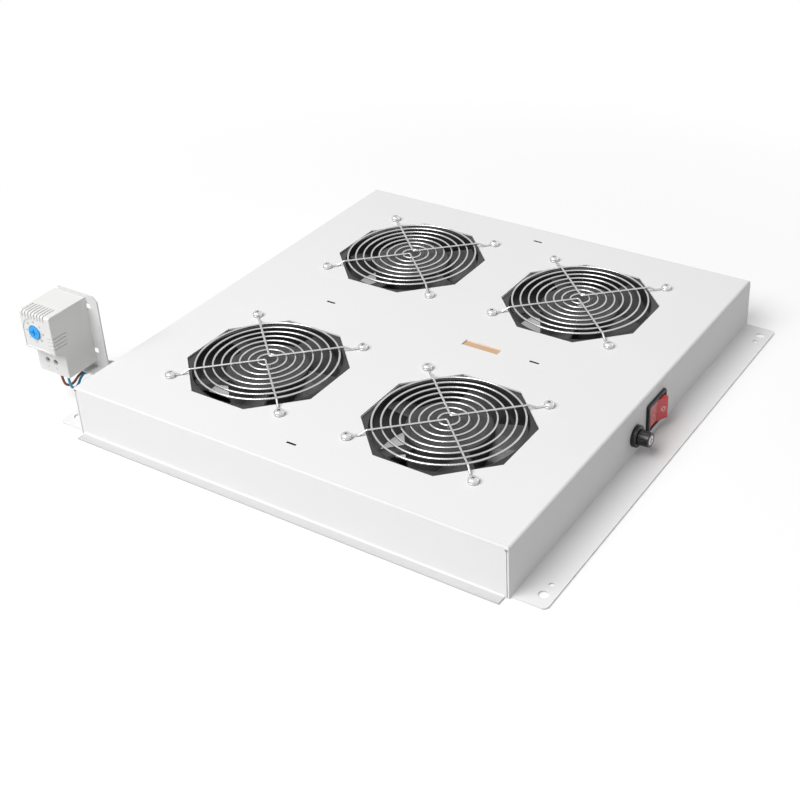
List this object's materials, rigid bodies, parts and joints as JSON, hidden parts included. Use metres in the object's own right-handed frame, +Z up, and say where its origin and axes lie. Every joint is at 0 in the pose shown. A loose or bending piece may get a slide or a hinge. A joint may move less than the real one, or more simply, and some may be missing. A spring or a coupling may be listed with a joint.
{
  "type": "rack fan tray",
  "caption": "Folded steel tray with axial fans under wire guards, a lit rocker switch, a panel fuse holder and a small rail-mounted thermostat on a side bracket.",
  "frame": {"origin": "middle of the tray, on the underside of its mounting flanges, which is the middle of the four mounting holes", "axes": "+Z up through the air outlets; the wall with the switch and the fuse faces -Y; the thermostat is at the +Y wall, near -X"},
  "size_m": [0.42, 0.4645, 0.09],
  "materials": {
    "powder_coat": "light grey powder coat, fine texture",
    "black_casting": "black painted die casting",
    "dark_impeller": "dark grey moulded and painted",
    "motor_core": "laminations and windings",
    "ground_steel": "ground",
    "plated_wire": "bright nickel plate",
    "zinc_steel": "zinc plated",
    "tan_board": "insulating board",
    "black_moulding": "black moulded",
    "red_lens": "translucent red",
    "brass_tabs": "stamped",
    "clear_glass": "clear",
    "pale_moulding": "light grey moulded, fine texture",
    "blue_moulding": "blue moulded",
    "white_sheath": "white sheath",
    "brown_core": "brown insulation",
    "blue_core": "blue insulation",
    "black_rubber": "soft rubber",
    "grey_nylon": "grey nylon"
  },
  "bodies": {
    "chassis": {"board_nuts": "zinc_steel", "bracket_screws": "zinc_steel", "cable_clips": "grey_nylon", "cable_grommet": "black_rubber", "fan_bearings_1": "ground_steel", "fan_bearings_2": "ground_steel", "fan_bearings_3": "ground_steel", "fan_bearings_4": "ground_steel", "fan_frame_1": "black_casting", "fan_frame_2": "black_casting", "fan_frame_3": "black_casting", "fan_frame_4": "black_casting", "fan_stator_1": "motor_core", "fan_stator_2": "motor_core", "fan_stator_3": "motor_core", "fan_stator_4": "motor_core", "fan_terminals": "black_moulding", "finger_guard_1": "plated_wire", "finger_guard_2": "plated_wire", "finger_guard_3": "plated_wire", "finger_guard_4": "plated_wire", "fixing_nuts": "zinc_steel", "fuse_holder_body": "black_moulding", "fuse_holder_nut": "black_moulding", "fuse_holder_tags": "brass_tabs", "gland_nut": "grey_nylon", "guard_screws": "plated_wire", "mains_gland": "grey_nylon", "switch_housing": "black_moulding", "switch_lamp": "clear_glass", "switch_terminals": "brass_tabs", "terminal_block": "black_moulding", "terminal_board": "tan_board", "terminal_clamp_screws": "zinc_steel", "thermostat_base": "pale_moulding", "thermostat_bimetal": "brass_tabs", "thermostat_bracket": "powder_coat", "thermostat_cable": "white_sheath", "thermostat_case": "pale_moulding", "thermostat_cover": "pale_moulding", "thermostat_terminal_screws": "zinc_steel", "tray_shell": "powder_coat", "weld_studs": "zinc_steel", "wire_blue": "blue_core", "wire_brown": "brown_core"},
    "rotor_1": {"fan_rotor_1": "dark_impeller", "fan_shaft_1": "ground_steel"},
    "rotor_2": {"fan_rotor_2": "dark_impeller", "fan_shaft_2": "ground_steel"},
    "rotor_3": {"fan_rotor_3": "dark_impeller", "fan_shaft_3": "ground_steel"},
    "rotor_4": {"fan_rotor_4": "dark_impeller", "fan_shaft_4": "ground_steel"},
    "rocker": {"switch_rocker": "red_lens"},
    "dial": {"thermostat_dial": "blue_moulding"},
    "fuse_drawer": {"fuse_carrier": "black_moulding", "fuse_link": "clear_glass"},
    "fuse_knob": {"fuse_cap": "black_moulding", "fuse_cap_insert": "zinc_steel"}
  },
  "joints": [
    {"name": "fan_spin_1", "type": "hinge", "parent": "chassis", "child": "rotor_1", "pos_m": [0.1, 0.0825, 0.02], "axis": [0, 0, 1], "continuous": true},
    {"name": "fan_spin_2", "type": "hinge", "parent": "chassis", "child": "rotor_2", "pos_m": [0.1, -0.0825, 0.02], "axis": [0, 0, 1], "continuous": true},
    {"name": "fan_spin_3", "type": "hinge", "parent": "chassis", "child": "rotor_3", "pos_m": [-0.1, 0.0825, 0.02], "axis": [0, 0, 1], "continuous": true},
    {"name": "fan_spin_4", "type": "hinge", "parent": "chassis", "child": "rotor_4", "pos_m": [-0.1, -0.0825, 0.02], "axis": [0, 0, 1], "continuous": true},
    {"name": "rocker_tilt", "type": "hinge", "parent": "chassis", "child": "rocker", "pos_m": [0.0165, -0.1869, 0.0199], "axis": [0, 0, 1], "range_deg": [0, 26]},
    {"name": "dial_turn", "type": "hinge", "parent": "chassis", "child": "dial", "pos_m": [-0.186, 0.235, 0.071], "axis": [-1, 0, 0], "range_deg": [0, 270]},
    {"name": "fuse_draw", "type": "slide", "parent": "chassis", "child": "fuse_drawer", "axis": [0, -1, 0], "range_m": [0, 0.028]},
    {"name": "fuse_turn", "type": "hinge", "parent": "fuse_drawer", "child": "fuse_knob", "pos_m": [-0.017, -0.198, 0.017], "axis": [0, -1, 0], "range_deg": [0, 90]}
  ]
}
